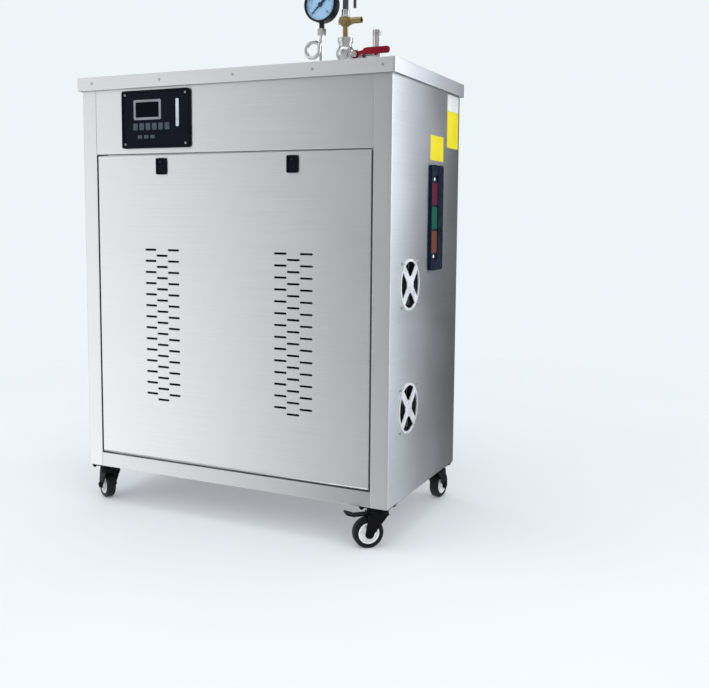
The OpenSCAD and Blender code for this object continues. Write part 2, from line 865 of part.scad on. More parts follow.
module fork(corner, pedal) {
    color(black) caster_place(corner) {
        difference() {
            union() {
                translate([0, 0, crown_z]) cylinder(r = cup_r, h = race_z - turn_gap - crown_z);
                slab([-crown_back, -leg_y - leg_t, crown_z], [cup_r, leg_y + leg_t, crown_z + crown_t]);
                for (s = [-1, 1]) translate([0, s * (leg_y + leg_t / 2) + leg_t / 2, 0]) rotate([90, 0, 0])
                    linear_extrude(leg_t) leg_profile();
            }
            translate([0, 0, crown_z - 1]) cylinder(d = kingpin_d + 2 * run_gap, h = caster_h);
        }
        translate([trail, leg_y + leg_t + axle_end, wheel_r]) rotate([90, 0, 0])
            cylinder(d = axle_d, h = 2 * (leg_y + leg_t + axle_end));
        for (s = [-1, 1]) translate([trail, s * (leg_y + leg_t + axle_end / 2) + axle_end / 2, wheel_r])
            rotate([90, 0, 0]) hex(axle_flats, axle_end);
        if (pedal) {
            slab([crown_back, -pedal_w / 2, crown_z], [trail + wheel_r, pedal_w / 2, crown_z + crown_t]);
            translate([trail + wheel_r - 1, -pedal_tip_w / 2, crown_z]) rotate([0, -18, 0])
                cube([pedal_tip, pedal_tip_w, crown_t]);
        }
    }
}

module hub(corner) {
    hub_r = wheel_hub_d / 2;
    half = wheel_w / 2 - 1;
    dish = 5;
    boss_r = axle_d + 2;
    boss = leg_y - turn_gap;
    color([0.85, 0.86, 0.86]) caster_place(corner) translate([trail, 0, wheel_r]) rotate([90, 0, 0])
        rotate_extrude() polygon([
            [axle_d / 2 + run_gap, -boss], [boss_r, -boss], [boss_r, dish - half], [hub_r - 4, dish - half],
            [hub_r - 4, -half], [hub_r, -half], [hub_r, half], [hub_r - 4, half], [hub_r - 4, half - dish],
            [boss_r, half - dish], [boss_r, boss], [axle_d / 2 + run_gap, boss]]);
}

module tyre(corner) {
    inner = wheel_hub_d / 2 + tyre_gap;
    half = wheel_w / 2;
    edge = 4;
    color(black) caster_place(corner) translate([trail, 0, wheel_r]) rotate([90, 0, 0])
        rotate_extrude() polygon([
            [inner, 1 - half], [wheel_r - edge, -half], [wheel_r, edge - half], [wheel_r, half - edge],
            [wheel_r - edge, half], [inner, half - 1]]);
}

module front_left_fork() {
    fork(front_left, true);
}

module front_left_hub() {
    hub(front_left);
}

module front_left_tyre() {
    tyre(front_left);
}

module front_right_fork() {
    fork(front_right, true);
}

module front_right_hub() {
    hub(front_right);
}

module front_right_tyre() {
    tyre(front_right);
}

module rear_left_fork() {
    fork(rear_left, false);
}

module rear_left_hub() {
    hub(rear_left);
}

module rear_left_tyre() {
    tyre(rear_left);
}

module rear_right_fork() {
    fork(rear_right, false);
}

module rear_right_hub() {
    hub(rear_right);
}

module rear_right_tyre() {
    tyre(rear_right);
}

base_tray();
left_side_panel();
right_side_panel();
back_panel();
lid();
control_fascia();
front_panel();
control_bezel();
display_frame();
display_screen();
function_keys();
status_light();
left_latch();
right_latch();
upper_fan_frame();
upper_fan_rotor();
upper_fan_guard();
lower_fan_frame();
lower_fan_rotor();
lower_fan_guard();
level_window();
level_scale();
gauge_case();
gauge_dial();
gauge_siphon();
steam_tee();
safety_valve();
safety_valve_bonnet();
steam_valve();
steam_valve_lever();
steam_outlet();
rear_connections();
caster_plates();
front_left_fork();
front_left_hub();
front_left_tyre();
front_right_fork();
front_right_hub();
front_right_tyre();
rear_left_fork();
rear_left_hub();
rear_left_tyre();
rear_right_fork();
rear_right_hub();
rear_right_tyre();
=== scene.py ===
"""Looks of the steam boiler cabinet: finishes, fasteners, dial and plates, studio light and camera.

Metres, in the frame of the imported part: +Z up, front towards -Y, fan side towards +X.
"""

import json
import math

import bmesh
import bpy
from mathutils import Matrix, Vector


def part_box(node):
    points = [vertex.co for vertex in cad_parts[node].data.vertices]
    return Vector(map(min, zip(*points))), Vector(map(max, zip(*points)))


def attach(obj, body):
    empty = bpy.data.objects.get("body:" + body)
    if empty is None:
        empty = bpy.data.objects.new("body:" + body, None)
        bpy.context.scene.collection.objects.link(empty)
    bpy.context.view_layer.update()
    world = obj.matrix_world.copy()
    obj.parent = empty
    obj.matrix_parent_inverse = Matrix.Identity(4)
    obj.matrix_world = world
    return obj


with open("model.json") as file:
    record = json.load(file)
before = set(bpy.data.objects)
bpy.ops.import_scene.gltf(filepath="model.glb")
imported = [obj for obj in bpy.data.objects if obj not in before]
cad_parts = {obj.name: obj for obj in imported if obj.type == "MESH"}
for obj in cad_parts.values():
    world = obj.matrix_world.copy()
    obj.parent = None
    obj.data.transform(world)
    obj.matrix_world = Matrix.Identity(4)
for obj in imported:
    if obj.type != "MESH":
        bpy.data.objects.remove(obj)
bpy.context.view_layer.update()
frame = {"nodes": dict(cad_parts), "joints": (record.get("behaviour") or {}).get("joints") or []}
nodes = frame["nodes"]
joints = {joint["name"]: joint for joint in frame["joints"]}

# Sizes read from the frame
panel_low, panel_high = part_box("front_panel")
lid_low, lid_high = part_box("lid")
side_low, side_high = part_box("right_side_panel")
back_low, back_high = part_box("back_panel")
bezel_low, bezel_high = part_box("control_bezel")
dial_low, dial_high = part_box("gauge_dial")
case_low, case_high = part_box("gauge_case")

FRONT_Y = panel_low.y
SIDE_X = side_high.x
BACK_Y = back_high.y
LID_TOP = lid_high.z
CORNERS = ("front_left", "front_right", "rear_left", "rear_right")

FORWARD = (0, -1, 0)
BACKWARD = (0, 1, 0)
RIGHTWARD = (1, 0, 0)
UPWARD = (0, 0, 1)
DOWNWARD = (0, 0, -1)

CORNER_STEPS = 6
TURN_STEPS = 32
FINE_STEPS = 48
SCREW_STEPS = 24
SMOOTH_ANGLE = 35
WELD = 1e-6


# Mesh helpers

def ring(radius, height, steps=TURN_STEPS):
    """Points of a circle about the local Z axis."""
    return [
        Vector((radius * math.cos(i * math.tau / steps), radius * math.sin(i * math.tau / steps), height))
        for i in range(steps)
    ]


def hexagon_ring(flats, height, steps=SCREW_STEPS):
    """Points of a hexagon, spread as evenly as those of a circle."""
    side = math.tau / 6
    points = []
    for i in range(steps):
        turn = i * math.tau / steps
        off = (turn + side / 2) % side - side / 2
        radius = flats / 2 / math.cos(off)
        points.append(Vector((radius * math.cos(turn), radius * math.sin(turn), height)))
    return points


def rounded_rectangle(width, height, radius, level):
    """Points of a rectangle with round corners in the local XY plane."""
    points = []
    for corner, (sx, sy) in enumerate(((1, 1), (-1, 1), (-1, -1), (1, -1))):
        for i in range(CORNER_STEPS + 1):
            turn = (corner + i / CORNER_STEPS) * math.pi / 2
            points.append(Vector((
                sx * (width / 2 - radius) + radius * math.cos(turn),
                sy * (height / 2 - radius) + radius * math.sin(turn),
                level,
            )))
    return points


def skin(bm, loops, place=Matrix.Identity(4), closed=True):
    """Joins loops of equal length into a surface, closed at its two ends where asked."""
    rows = [[bm.verts.new(place @ p) for p in loop] for loop in loops]
    count = len(rows[0])
    for low, high in zip(rows, rows[1:]):
        for i in range(count):
            j = (i + 1) % count
            bm.faces.new((low[i], low[j], high[j], high[i]))
    if closed:
        bm.faces.new(list(reversed(rows[0])))
        bm.faces.new(rows[-1])


def plate(bm, place, width, height, thick, radius=0.002, edge=0.0004):
    """A flat plate with round corners and a small chamfer, standing on its local XY plane."""
    skin(bm, [
        rounded_rectangle(width, height, radius, 0),
        rounded_rectangle(width, height, radius, thick - edge),
        rounded_rectangle(width - 2 * edge, height - 2 * edge, max(radius - edge, edge), thick),
    ], place)


def lathe(bm, place, profile, steps=TURN_STEPS):
    """A closed turned solid from (radius, height) pairs, the first and last of which are closed flat."""
    skin(bm, [ring(radius, height, steps) for radius, height in profile], place)


def hoop(bm, place, section, steps):
    """A closed ring from the (radius, height) pairs round its section."""
    loops = [ring(radius, height, steps) for radius, height in section]
    skin(bm, loops + loops[:1], place, closed=False)
    bmesh.ops.remove_doubles(bm, verts=bm.verts, dist=WELD)


def bolt(bm, place, radius, height):
    """A button head screw with a hexagon socket."""
    dome = ((1, 0), (1, 0.25), (0.94, 0.55), (0.78, 0.82), (0.6, 1))
    socket_flats = 0.8 * radius
    socket_floor = 0.35 * height
    loops = [ring(r * radius, z * height, SCREW_STEPS) for r, z in dome]
    loops.append(hexagon_ring(socket_flats, height))
    loops.append(hexagon_ring(socket_flats, socket_floor))
    skin(bm, loops, place)


def piece(name, bm, material, body="cabinet"):
    """Makes an object of the mesh and lets it ride on a body of the frame."""
    bmesh.ops.recalc_face_normals(bm, faces=bm.faces)
    mesh = bpy.data.meshes.new(name)
    bm.to_mesh(mesh)
    bm.free()
    for face in mesh.polygons:
        face.use_smooth = True
    mesh.set_sharp_from_angle(angle=math.radians(SMOOTH_ANGLE))
    mesh.materials.append(material)
    obj = bpy.data.objects.new(name, mesh)
    bpy.context.scene.collection.objects.link(obj)
    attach(obj, body)


def facing(at, normal, up=UPWARD):
    """A frame at a point, with its Z along the normal and its Y as near to up as it can be."""
    z = Vector(normal).normalized()
    x = Vector(up).cross(z).normalized()
    y = z.cross(x)
    turn = Matrix((x, y, z)).transposed().to_4x4()
    return Matrix.Translation(Vector(at)) @ turn


def on_front(x, z, y):
    """A frame that faces the front."""
    return facing((x, y, z), FORWARD)


def on_right(y, z, x=SIDE_X):
    """A frame that faces the fan side, on the side panel unless x says otherwise."""
    return facing((x, y, z), RIGHTWARD)


def raised(height):
    """A step along the local Z axis."""
    return Matrix.Translation((0, 0, height))


# Materials

RANGE_SOCKETS = ("From Min", "From Max", "To Min", "To Max")


class Shader:
    """A Principled material with short calls for the nodes that it needs."""

    def __init__(self, name, color, rough, metal=0.0, **sockets):
        self.material = bpy.data.materials.new(name)
        self.material.use_nodes = True
        self.tree = self.material.node_tree
        self.surface = self.tree.nodes["Principled BSDF"]
        self.set("Base Color", (*color, 1))
        self.set("Roughness", rough)
        self.set("Metallic", metal)
        for socket, value in sockets.items():
            self.set(socket.replace("_", " "), value)

    def set(self, socket, value):
        self.surface.inputs[socket].default_value = value

    def node(self, kind, **settings):
        """A node with its sockets and settings given by name."""
        made = self.tree.nodes.new(kind)
        for key, value in settings.items():
            if key in made.inputs:
                made.inputs[key].default_value = value
            else:
                setattr(made, key, value)
        return made

    def link(self, out, into):
        self.tree.links.new(out, into)

    def place(self, scale=(1, 1, 1)):
        """Coordinates of the piece in metres, scaled."""
        coords = self.node("ShaderNodeTexCoord")
        mapping = self.node("ShaderNodeMapping", Scale=scale)
        self.link(coords.outputs["Object"], mapping.inputs["Vector"])
        return mapping.outputs["Vector"]

    def noise(self, vector, scale, detail=4.0, rough=0.55):
        made = self.node("ShaderNodeTexNoise", Scale=scale, Detail=detail, Roughness=rough)
        self.link(vector, made.inputs["Vector"])
        return made.outputs["Fac"]

    def spread(self, value, low, high, from_low=0.3, from_high=0.7):
        """Maps a value to a range; without limits of its own, it is taken to be a noise."""
        made = self.node("ShaderNodeMapRange")
        for socket, number in zip(RANGE_SOCKETS, (from_low, from_high, low, high)):
            made.inputs[socket].default_value = number
        self.link(value, made.inputs["Value"])
        return made.outputs["Result"]

    def tint(self, value, dark, light):
        """Mixes two colours by a noise and gives the result to the surface."""
        mix = self.node("ShaderNodeMix", data_type="RGBA")
        for socket, color in ((mix.inputs[6], dark), (mix.inputs[7], light)):
            socket.default_value = (*color, 1)
        self.link(self.spread(value, 0, 1), mix.inputs["Factor"])
        self.link(mix.outputs[2], self.surface.inputs["Base Color"])

    def rough(self, value, low, high):
        """Varies the roughness by a noise."""
        self.link(self.spread(value, low, high), self.surface.inputs["Roughness"])

    def bump(self, value, strength, distance, edge=0.0):
        """Raises the surface by a value, over edges that are rounded in shading where asked."""
        made = self.node("ShaderNodeBump", Strength=strength, Distance=distance)
        self.link(value, made.inputs["Height"])
        if edge:
            bevel = self.node("ShaderNodeBevel", samples=4, Radius=edge)
            self.link(bevel.outputs["Normal"], made.inputs["Normal"])
        self.link(made.outputs["Normal"], self.surface.inputs["Normal"])


def shade(color, factor):
    """A colour made darker or lighter, never above white."""
    return tuple(min(1.0, c * factor) for c in color)


# Colours, and the scale of the sheets' grain along each direction
SHEET = (0.72, 0.725, 0.735)
# The lid's steel is the same stainless painted lighter: painted light that brightens the lid
LID_SHEET_PAINTED_LIGHT = (0.76, 0.765, 0.775)
# The rail's steel is the same stainless painted darker: painted shade for the floor's shadow that the rail
# reflects
RAIL_SHEET_PAINTED_SHADE = (0.6, 0.605, 0.615)
PLATING = (0.84, 0.85, 0.88)
YELLOW = (0.92, 0.79, 0.01)
WHITE = (0.86, 0.86, 0.86)
FRONT_GRAIN = (3, 700, 700)
SIDE_GRAIN = (700, 3, 700)


def brushed(name, grain, color, rough):
    """Brushed stainless sheet: fine grain lines, cloudy handling marks and stretched highlights."""
    made = Shader(name, color, rough, 1.0, Anisotropic=0.75)
    streaks = made.noise(made.place(grain), scale=1.0, detail=5.0, rough=0.65)
    clouds = made.noise(made.place(), scale=2.6, detail=3.0)
    made.tint(streaks, shade(color, 0.94), shade(color, 1.05))
    joined = made.node("ShaderNodeMath", operation="ADD")
    made.link(made.spread(streaks, -0.03, 0.03), joined.inputs[0])
    made.link(made.spread(clouds, rough - 0.035, rough + 0.035), joined.inputs[1])
    made.link(joined.outputs["Value"], made.surface.inputs["Roughness"])
    made.bump(streaks, strength=0.12, distance=0.0003, edge=0.0024)
    return made


def brushed_steel(name, grain, color, rough):
    """Upright brushed sheet, whose highlights stretch upright."""
    made = brushed(name, grain, color, rough)
    across = made.node("ShaderNodeCombineXYZ", Z=1)
    made.link(across.outputs["Vector"], made.surface.inputs["Tangent"])
    return made.material


def folded_steel(name, grain, color, rough):
    """Brushed sheet with folded edges: highlights stretch upright on the edges, front to back on the top."""
    made = brushed(name, grain, color, rough)
    split = made.node("ShaderNodeSeparateXYZ")
    level = made.node("ShaderNodeMath", operation="ABSOLUTE")
    upright = made.node("ShaderNodeMath", operation="SUBTRACT")
    upright.inputs[0].default_value = 1
    across = made.node("ShaderNodeCombineXYZ")
    made.link(made.node("ShaderNodeNewGeometry").outputs["Normal"], split.inputs["Vector"])
    made.link(split.outputs["Z"], level.inputs[0])
    made.link(level.outputs["Value"], upright.inputs[1])
    made.link(level.outputs["Value"], across.inputs["Y"])
    made.link(upright.outputs["Value"], across.inputs["Z"])
    made.link(across.outputs["Vector"], made.surface.inputs["Tangent"])
    return made.material


def polished(name, color, rough):
    """Turned or polished metal with faint tool marks."""
    made = Shader(name, color, rough, 1.0)
    marks = made.noise(made.place((1, 1, 4)), scale=260.0, detail=3.0)
    stains = made.noise(made.place(), scale=28.0)
    made.rough(marks, rough - 0.05, rough + 0.07)
    made.tint(stains, shade(color, 0.86), shade(color, 1.06))
    made.bump(marks, strength=0.06, distance=0.0002, edge=0.0006)
    return made.material


def moulded(name, color, rough, grain=900.0, depth=0.15, wear=0.2, specular=0.5, metal=0.0):
    """Moulded plastic, rubber or coated steel with a fine grain and faint wear."""
    made = Shader(name, color, rough, metal, Specular_IOR_Level=specular)
    fine = made.noise(made.place(), scale=grain, detail=3.0)
    handled = made.noise(made.place(), scale=22.0)
    made.rough(handled, max(rough - 0.09, 0.04), rough + 0.09)
    made.tint(handled, shade(color, 1 - wear), shade(color, 1 + wear))
    made.bump(fine, strength=depth, distance=0.0002, edge=0.0008)
    return made.material


def level_print():
    """Three printed zones of the level scale, low at the foot and high at the head."""
    low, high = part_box("level_scale")
    made = Shader("level_print", (0.1, 0.4, 0.25), 0.4, Specular_IOR_Level=0.04)
    split = made.node("ShaderNodeSeparateXYZ")
    made.link(made.place(), split.inputs["Vector"])
    height = made.spread(split.outputs["Z"], 0, 1, low.z, high.z)
    ramp = made.node("ShaderNodeValToRGB")
    ramp.color_ramp.interpolation = "CONSTANT"
    foot, middle = ramp.color_ramp.elements
    foot.color = (0.17, 0.05, 0.025, 1)
    middle.position = 0.335
    middle.color = (0.003, 0.105, 0.058, 1)
    head = ramp.color_ramp.elements.new(0.67)
    head.color = (0.12, 0.006, 0.028, 1)
    made.link(height, ramp.inputs["Fac"])
    made.link(ramp.outputs["Color"], made.surface.inputs["Base Color"])
    made.bump(made.noise(made.place(), scale=700.0), strength=0.05, distance=0.0001)
    return made.material


def clear_glass():
    """Thin clear glass with faint smears."""
    made = Shader("clear_glass", (1, 1, 1), 0.03, Transmission_Weight=1.0, IOR=1.45, Alpha=0.3)
    made.rough(made.noise(made.place(), scale=60.0), 0.02, 0.05)
    return made.material


# Distances from the middle at which the floor starts to fade and is gone
FLOOR_FADE = (1.3, 3.2)


def floor_finish():
    """Matt pale floor, a little lifted where the camera sees it, that fades into the surroundings."""
    lift = 0.12
    made = Shader("floor", (0.74, 0.76, 0.78), 0.6, Specular_IOR_Level=0, Emission_Color=(0.92, 0.96, 1, 1))
    clouds = made.noise(made.place(), scale=1.3, detail=3.0)
    made.tint(clouds, (0.73, 0.75, 0.77), (0.75, 0.77, 0.79))
    seen = made.node("ShaderNodeLightPath").outputs["Is Camera Ray"]
    made.link(made.spread(seen, 0, lift, 0, 1), made.surface.inputs["Emission Strength"])
    away = made.node("ShaderNodeVectorMath", operation="LENGTH")
    made.link(made.place(), away.inputs[0])
    made.link(made.spread(away.outputs["Value"], 1, 0, *FLOOR_FADE), made.surface.inputs["Alpha"])
    return made.material


materials = {
    "front": brushed_steel("steel_front", FRONT_GRAIN, SHEET, 0.31),
    "side": brushed_steel("steel_side", SIDE_GRAIN, SHEET, 0.34),
    # Painted light: the lid takes a lighter copy of the sheet
    "lid": folded_steel("steel_lid_painted_light", FRONT_GRAIN, LID_SHEET_PAINTED_LIGHT, 0.46),
    # Painted shade: the rail takes a darker copy of the sheet
    "rail": brushed_steel("steel_rail_painted_shade", FRONT_GRAIN, RAIL_SHEET_PAINTED_SHADE, 0.22),
    "fitting": polished("fitting_steel", (0.74, 0.74, 0.73), 0.2),
    "guard": moulded("guard_plating", PLATING, 0.3, grain=500.0, depth=0.02, wear=0.05, metal=0.45),
    "lip": polished("lip_steel", (0.64, 0.645, 0.655), 0.24),
    "screw": polished("screw_steel", (0.55, 0.55, 0.56), 0.28),
    "brass": polished("turned_brass", (0.4, 0.3, 0.14), 0.3),
    "black": moulded("black_plastic", (0.004, 0.0055, 0.01), 0.45, specular=0.05),
    "fan": moulded("fan_black", (0.02, 0.02, 0.025), 0.36, specular=0.6),
    "frame": moulded("display_frame", (0.2, 0.205, 0.23), 0.4, specular=0.3),
    "screen": moulded("display_glass", (0.0008, 0.001, 0.004), 0.16, grain=300.0, depth=0.01, specular=0.05),
    "keys": moulded("key_rubber", (0.045, 0.06, 0.085), 0.5, specular=0.25),
    "light": moulded("light_diffuser", (0.47, 0.5, 0.55), 0.3, grain=500.0, depth=0.03),
    "navy": moulded("window_navy", (0.0045, 0.011, 0.028), 0.3, grain=600.0, depth=0.03, specular=0.06),
    "print": level_print(),
    "gauge": moulded("gauge_black", (0.006, 0.007, 0.009), 0.34, grain=500.0, depth=0.06, specular=0.3),
    "dial": moulded("dial_face", (0.36, 0.6, 0.88), 0.4, depth=0.02, wear=0.06),
    "ink": moulded("dial_ink", (0.01, 0.02, 0.07), 0.45),
    "bonnet": moulded("bonnet_dark", (0.03, 0.035, 0.055), 0.35, grain=400.0, depth=0.08),
    "red": moulded("lever_vinyl", (0.2, 0.002, 0.01), 0.36, grain=500.0, depth=0.08, specular=0.15),
    "caster": moulded("caster_black", (0.005, 0.005, 0.006), 0.5, grain=450.0, depth=0.1, specular=0.08),
    "hub": moulded("hub_plastic", (0.85, 0.86, 0.86), 0.4),
    "tyre": moulded("tyre_rubber", (0.009, 0.009, 0.01), 0.62, grain=700.0, depth=0.25, specular=0.25),
    "yellow": moulded("plate_yellow", YELLOW, 0.4, grain=500.0, depth=0.03, wear=0.04, specular=0.12),
    "white": moulded("plate_white", WHITE, 0.4, grain=500.0, depth=0.03, wear=0.04),
    "glass": clear_glass(),
}

finish_of = {
    "front": ["front_panel", "control_fascia", "back_panel"],
    "rail": ["base_tray"],
    "side": ["left_side_panel", "right_side_panel"],
    "lid": ["lid"],
    "fitting": ["gauge_siphon", "steam_tee", "steam_valve", "steam_outlet", "rear_connections"],
    "guard": ["upper_fan_guard", "lower_fan_guard"],
    "brass": ["safety_valve"],
    "black": ["control_bezel", "left_latch", "right_latch"],
    "fan": ["upper_fan_frame", "upper_fan_rotor", "lower_fan_frame", "lower_fan_rotor"],
    "frame": ["display_frame"],
    "screen": ["display_screen"],
    "keys": ["function_keys"],
    "light": ["status_light"],
    "navy": ["level_window"],
    "print": ["level_scale"],
    "gauge": ["gauge_case"],
    "dial": ["gauge_dial"],
    "bonnet": ["safety_valve_bonnet"],
    "red": ["steam_valve_lever"],
    "caster": ["caster_plates"] + [corner + "_fork" for corner in CORNERS],
    "hub": [corner + "_hub" for corner in CORNERS],
    "tyre": [corner + "_tyre" for corner in CORNERS],
}


def finish_nodes():
    """Gives each solid of the frame its finish."""
    for key, names in finish_of.items():
        for name in names:
            slots = nodes[name].data.materials
            slots.clear()
            slots.append(materials[key])


# Fasteners

def lid_screws():
    """Small screws along the front and back rims of the lid."""
    bm = bmesh.new()
    middle = (lid_low.z + lid_high.z) / 2
    for x in (-0.41, -0.19, 0.03, 0.25, 0.43):
        for y, normal in ((lid_low.y, FORWARD), (lid_high.y, BACKWARD)):
            bolt(bm, facing((x, y, middle), normal), radius=0.004, height=0.0004)
    piece("lid_screws", bm, materials["screw"])


def control_screws():
    """Screws in the corners of the control panel."""
    bm = bmesh.new()
    inset = 0.0105
    face = bezel_low.y + 0.002
    for x in (bezel_low.x + inset, bezel_high.x - inset):
        for z in (bezel_low.z + inset, bezel_high.z - inset):
            bolt(bm, on_front(x, z, face), radius=0.0032, height=0.002)
    piece("control_screws", bm, materials["screw"])


def fan_screws():
    """Four screws round each fan guard."""
    bm = bmesh.new()
    half_pitch = 0.0525
    for name in ("upper_fan_guard", "lower_fan_guard"):
        low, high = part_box(name)
        centre = (low + high) / 2
        for y in (-half_pitch, half_pitch):
            for z in (-half_pitch, half_pitch):
                bolt(bm, on_right(centre.y + y, centre.z + z), radius=0.004, height=0.0028)
    piece("fan_screws", bm, materials["screw"])


def back_screws():
    """Screws round the edge of the back panel."""
    inset = 0.012
    margin = 0.03
    spaces = 5
    foot = back_low.z + margin
    head = lid_low.z - margin
    rise = (head - foot) / spaces
    pitch = (back_high.x - back_low.x) / spaces
    edges = (back_low.x + inset, back_high.x - inset)
    spots = [(x, foot + i * rise) for x in edges for i in range(spaces + 1)]
    spots += [(back_low.x + i * pitch, z) for i in range(1, spaces) for z in (foot, head)]
    bm = bmesh.new()
    for x, z in spots:
        bolt(bm, facing((x, BACK_Y, z), BACKWARD), radius=0.0045, height=0.003)
    piece("back_screws", bm, materials["screw"])


# Plates on the right side

# Middle behind the front, middle above the panel's foot, width, height
YELLOW_PLATES = ((0.304, 0.8695, 0.095, 0.064), (0.425, 0.9255, 0.088, 0.097))
WHITE_PLATES = ((0.425, 0.996, 0.088, 0.043),)


def side_plates(name, spots, finish):
    """Bare plates of one colour."""
    bm = bmesh.new()
    for behind, above, width, height in spots:
        plate(bm, on_right(FRONT_Y + behind, side_low.z + above), width, height, thick=0.0006)
    piece(name, bm, materials[finish])


# Gauge

DIAL_R = (dial_high.x - dial_low.x) / 2
DIAL_FACE = on_front((dial_low.x + dial_high.x) / 2, (dial_low.z + dial_high.z) / 2, dial_low.y)
CASE_R = (case_high.x - case_low.x) / 2
CASE_DEPTH = dial_low.y - case_low.y
SCALE_START = math.radians(225)
SCALE_SWEEP = math.radians(270)
SCALE_TOP = 8
UNIT_TICKS = 5


def gauge_ticks():
    """Long ticks at the whole units and short ones between them."""
    bm = bmesh.new()
    count = SCALE_TOP * UNIT_TICKS
    for i in range(count + 1):
        turn = SCALE_START - SCALE_SWEEP * i / count
        length, width = (0.0065, 0.0011) if i % UNIT_TICKS == 0 else (0.0036, 0.0006)
        spot = Matrix.Rotation(turn, 4, "Z") @ Matrix.Translation((0.9 * DIAL_R - length / 2, 0, 0))
        plate(bm, DIAL_FACE @ spot, length, width, thick=0.0003, radius=width / 3, edge=0.00005)
    piece("gauge_ticks", bm, materials["ink"])


def gauge_numbers():
    """Plain numbers at every second unit."""
    reach = 0.66 * DIAL_R
    for unit in range(0, SCALE_TOP + 1, 2):
        turn = SCALE_START - SCALE_SWEEP * unit / SCALE_TOP
        name = "gauge_number_%d" % unit
        curve = bpy.data.curves.new(name, "FONT")
        curve.body = str(unit)
        curve.size = 0.0105
        curve.align_x = "CENTER"
        curve.align_y = "CENTER"
        curve.extrude = 0.0001
        curve.materials.append(materials["ink"])
        number = bpy.data.objects.new(name, curve)
        spot = Matrix.Translation((reach * math.cos(turn), reach * math.sin(turn), 0.0002))
        number.matrix_world = DIAL_FACE @ spot
        bpy.context.scene.collection.objects.link(number)
        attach(number, "cabinet")


def gauge_needle():
    """Needle with a counterweight, at rest just past zero, and its boss."""
    outline = (
        (-0.021, -0.0028), (-0.012, -0.0034), (0, -0.0028), (0.034, -0.0007), (0.036, 0),
        (0.034, 0.0007), (0, 0.0028), (-0.012, 0.0034), (-0.021, 0.0028),
    )
    boss = ((0.006, 0.0002), (0.006, 0.0032), (0.0052, 0.0042), (0.002, 0.0046))
    bm = bmesh.new()
    pointing = DIAL_FACE @ Matrix.Rotation(math.radians(222), 4, "Z") @ raised(0.002)
    skin(bm, [[Vector((x, y, z)) for x, y in outline] for z in (0, 0.0007)], pointing)
    lathe(bm, DIAL_FACE, boss)
    piece("gauge_needle", bm, materials["ink"])


def gauge_glass():
    """Slightly domed glass in the rim of the case."""
    rim = CASE_DEPTH - 0.0015
    dome = ((1, -0.001), (1, 0), (0.8, 0.0012), (0.4, 0.0019), (0.1, 0.0021))
    bm = bmesh.new()
    lathe(bm, DIAL_FACE, [(part * DIAL_R, rim + rise) for part, rise in dome], FINE_STEPS)
    piece("gauge_glass", bm, materials["glass"])


def gauge_bezel():
    """Turned rim of the case, from insets from its side and heights above its face."""
    section = (
        (0.0052, -0.004), (0.0002, -0.004), (0.0001, 0.0006),
        (0.0012, 0.0018), (0.003, 0.0018), (0.0052, -0.001),
    )
    bm = bmesh.new()
    hoop(bm, DIAL_FACE, [(CASE_R - inset, CASE_DEPTH + rise) for inset, rise in section], 64)
    piece("gauge_bezel", bm, materials["gauge"])


# Level window

def level_caps():
    """End caps of the level scale."""
    low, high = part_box("level_scale")
    middle = (low.y + high.y) / 2
    gap = 0.009
    profile = ((0.0045, 0), (0.0045, 0.0012), (0.0035, 0.0018), (0.001, 0.002))
    bm = bmesh.new()
    for z in (high.z + gap, low.z - gap):
        lathe(bm, on_right(middle, z, low.x), profile, SCREW_STEPS)
    piece("level_caps", bm, materials["white"])


# Front panel

def latch_locks():
    """A black lock core with a key slot in each latch."""
    profile = ((0.0034, -0.0005), (0.0034, 0.0006), (0.0029, 0.0009), (0.001, 0.0009))
    cores = bmesh.new()
    slots = bmesh.new()
    for name in ("left_latch", "right_latch"):
        low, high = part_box(name)
        width = high.x - low.x
        z = high.z - width / 8 - width / 6 - 0.001
        face = on_front((low.x + high.x) / 2, z, FRONT_Y - 0.0045)
        lathe(cores, face, profile, SCREW_STEPS)
        plate(slots, face @ raised(0.0008), 0.0009, 0.0044, thick=0.0003, radius=0.0003, edge=0.0001)
    piece("latch_locks", cores, materials["gauge"])
    piece("latch_key_slots", slots, materials["black"])


def panel_lip():
    """The folded lip along the foot of the front panel, which catches the light from above."""
    inset = 0.001
    section = ((0.001, 0.0042), (-0.0023, 0.0016), (-0.0024, 0.0011), (-0.0019, 0.0006), (0.001, 0.0006))
    bm = bmesh.new()
    skin(bm, [
        [Vector((x, FRONT_Y + y, panel_low.z + z)) for y, z in section]
        for x in (panel_low.x + inset, panel_high.x - inset)
    ])
    piece("panel_lip", bm, materials["lip"])


# Steam fittings

def lever_grip():
    """Thick vinyl sleeve on the lever of the steam valve."""
    low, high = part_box("steam_valve_lever")
    lever_w = 0.015
    width = lever_w + 0.002
    length = 0.068
    overhang = 0.001
    half = 0.0036
    corner = 0.007
    edge = 0.0014
    at = on_front(high.x - length / 2 + overhang, high.z - lever_w / 2, (low.y + high.y) / 2)
    levels = ((-half, edge), (-half + edge, 0), (half - edge, 0), (half, edge))
    bm = bmesh.new()
    skin(bm, [
        rounded_rectangle(length - 2 * inset, width - 2 * inset, corner - inset, level)
        for level, inset in levels
    ], at)
    piece("lever_grip", bm, materials["red"], body="valve_lever")


